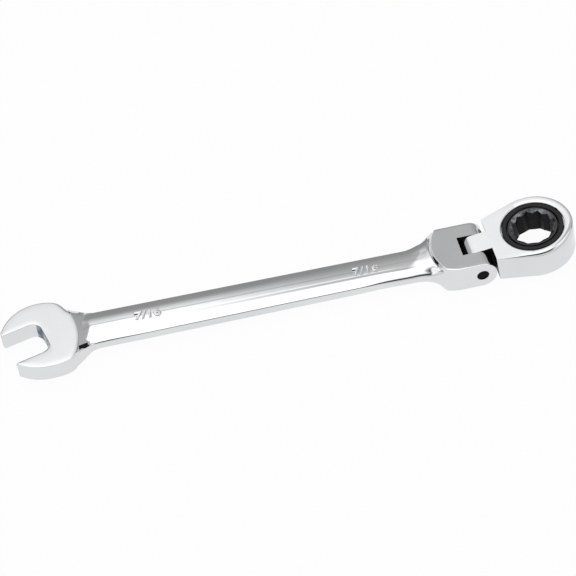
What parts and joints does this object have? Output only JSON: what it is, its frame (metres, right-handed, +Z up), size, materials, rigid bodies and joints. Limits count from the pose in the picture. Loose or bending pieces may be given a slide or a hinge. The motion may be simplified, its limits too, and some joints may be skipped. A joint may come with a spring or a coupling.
{
  "type": "flex head ratcheting wrench",
  "caption": "Chrome combination wrench with an angled open jaw at one end and a ratcheting ring head at the other, which flexes up and down on a forked pin joint.",
  "frame": {"origin": "on the surface that the wrench lies on, under the middle of its overall box", "axes": "+X along the shank from the open jaw towards the ratchet head, +Z up out of the face with the retaining ring"},
  "size_m": [0.172, 0.0251, 0.0136],
  "materials": {
    "handle": "bright polished chrome plate",
    "flex_pin": "black oxide",
    "flex_plunger": "hardened steel",
    "plunger_spring": "spring steel wire",
    "ratchet_head": "bright polished chrome plate",
    "retaining_ring": "black oxide, satin",
    "drive_gear": "black oxide, satin",
    "pawl": "black oxide",
    "pawl_spring": "spring steel wire"
  },
  "bodies": {
    "handle_body": {"handle": "handle", "flex_pin": "flex_pin", "flex_plunger": "flex_plunger", "plunger_spring": "plunger_spring"},
    "head_body": {"ratchet_head": "ratchet_head", "retaining_ring": "retaining_ring", "pawl_spring": "pawl_spring"},
    "gear_body": {"drive_gear": "drive_gear"},
    "pawl_body": {"pawl": "pawl"}
  },
  "joints": [
    {"name": "head_flex", "type": "hinge", "parent": "handle_body", "child": "head_body", "pos_m": [0.05559, 0, 0.00467], "axis": [0, -1, 0], "range_deg": [-98.6, 81.4]},
    {"name": "gear_spin", "type": "hinge", "parent": "head_body", "child": "gear_body", "pos_m": [0.07375, 0, 0.00742], "axis": [-0.1495, 0, 0.9888], "continuous": true},
    {"name": "pawl_slide", "type": "slide", "parent": "head_body", "child": "pawl_body", "axis": [-0.9888, 0, -0.1495], "range_m": [0, 0.0006], "stiffness_N_per_m": 300, "springref_m": -0.002, "deforming": ["pawl_spring"]}
  ]
}
